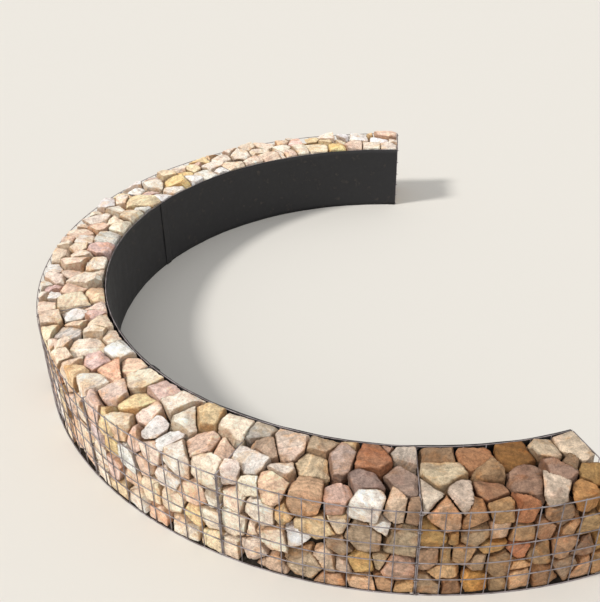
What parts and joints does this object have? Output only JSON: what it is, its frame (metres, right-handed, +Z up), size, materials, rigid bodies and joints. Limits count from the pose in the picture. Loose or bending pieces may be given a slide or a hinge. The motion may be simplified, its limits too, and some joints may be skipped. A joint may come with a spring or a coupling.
{
  "type": "gabion wall",
  "caption": "Low curved gabion wall of welded-mesh cages filled with blocky cream, pink and ochre stone, lined at the back.",
  "frame": {"origin": "centre of the wall's box on plan, at ground level", "axes": "+Z up, +X towards the open side of the curve, +Y along the wall's greatest length"},
  "size_m": [2.0676, 3.4044, 0.4045],
  "materials": {
    "galvanised_wire": "satin",
    "fill_stone": "matte",
    "black_liner": "matte"
  },
  "bodies": {
    "root": {"back_liner_1": "black_liner", "back_liner_2": "black_liner", "back_liner_3": "black_liner", "diaphragm_1": "galvanised_wire", "diaphragm_2": "galvanised_wire", "diaphragm_3": "galvanised_wire", "diaphragm_4": "galvanised_wire", "diaphragm_5": "galvanised_wire", "diaphragm_6": "galvanised_wire", "diaphragm_7": "galvanised_wire", "diaphragm_8": "galvanised_wire", "far_end_mesh": "galvanised_wire", "inner_mesh_1": "galvanised_wire", "inner_mesh_2": "galvanised_wire", "inner_mesh_3": "galvanised_wire", "inner_mesh_4": "galvanised_wire", "inner_mesh_5": "galvanised_wire", "inner_mesh_6": "galvanised_wire", "inner_mesh_7": "galvanised_wire", "inner_mesh_8": "galvanised_wire", "inner_mesh_9": "galvanised_wire", "near_end_mesh": "galvanised_wire", "outer_mesh_1": "galvanised_wire", "outer_mesh_2": "galvanised_wire", "outer_mesh_3": "galvanised_wire", "outer_mesh_4": "galvanised_wire", "outer_mesh_5": "galvanised_wire", "outer_mesh_6": "galvanised_wire", "outer_mesh_7": "galvanised_wire", "outer_mesh_8": "galvanised_wire", "outer_mesh_9": "galvanised_wire", "rock_fill_1": "fill_stone", "rock_fill_2": "fill_stone", "rock_fill_3": "fill_stone", "rock_fill_4": "fill_stone", "rock_fill_5": "fill_stone", "rock_fill_6": "fill_stone", "rock_fill_7": "fill_stone", "rock_fill_8": "fill_stone", "rock_fill_9": "fill_stone"}
  },
  "joints": []
}
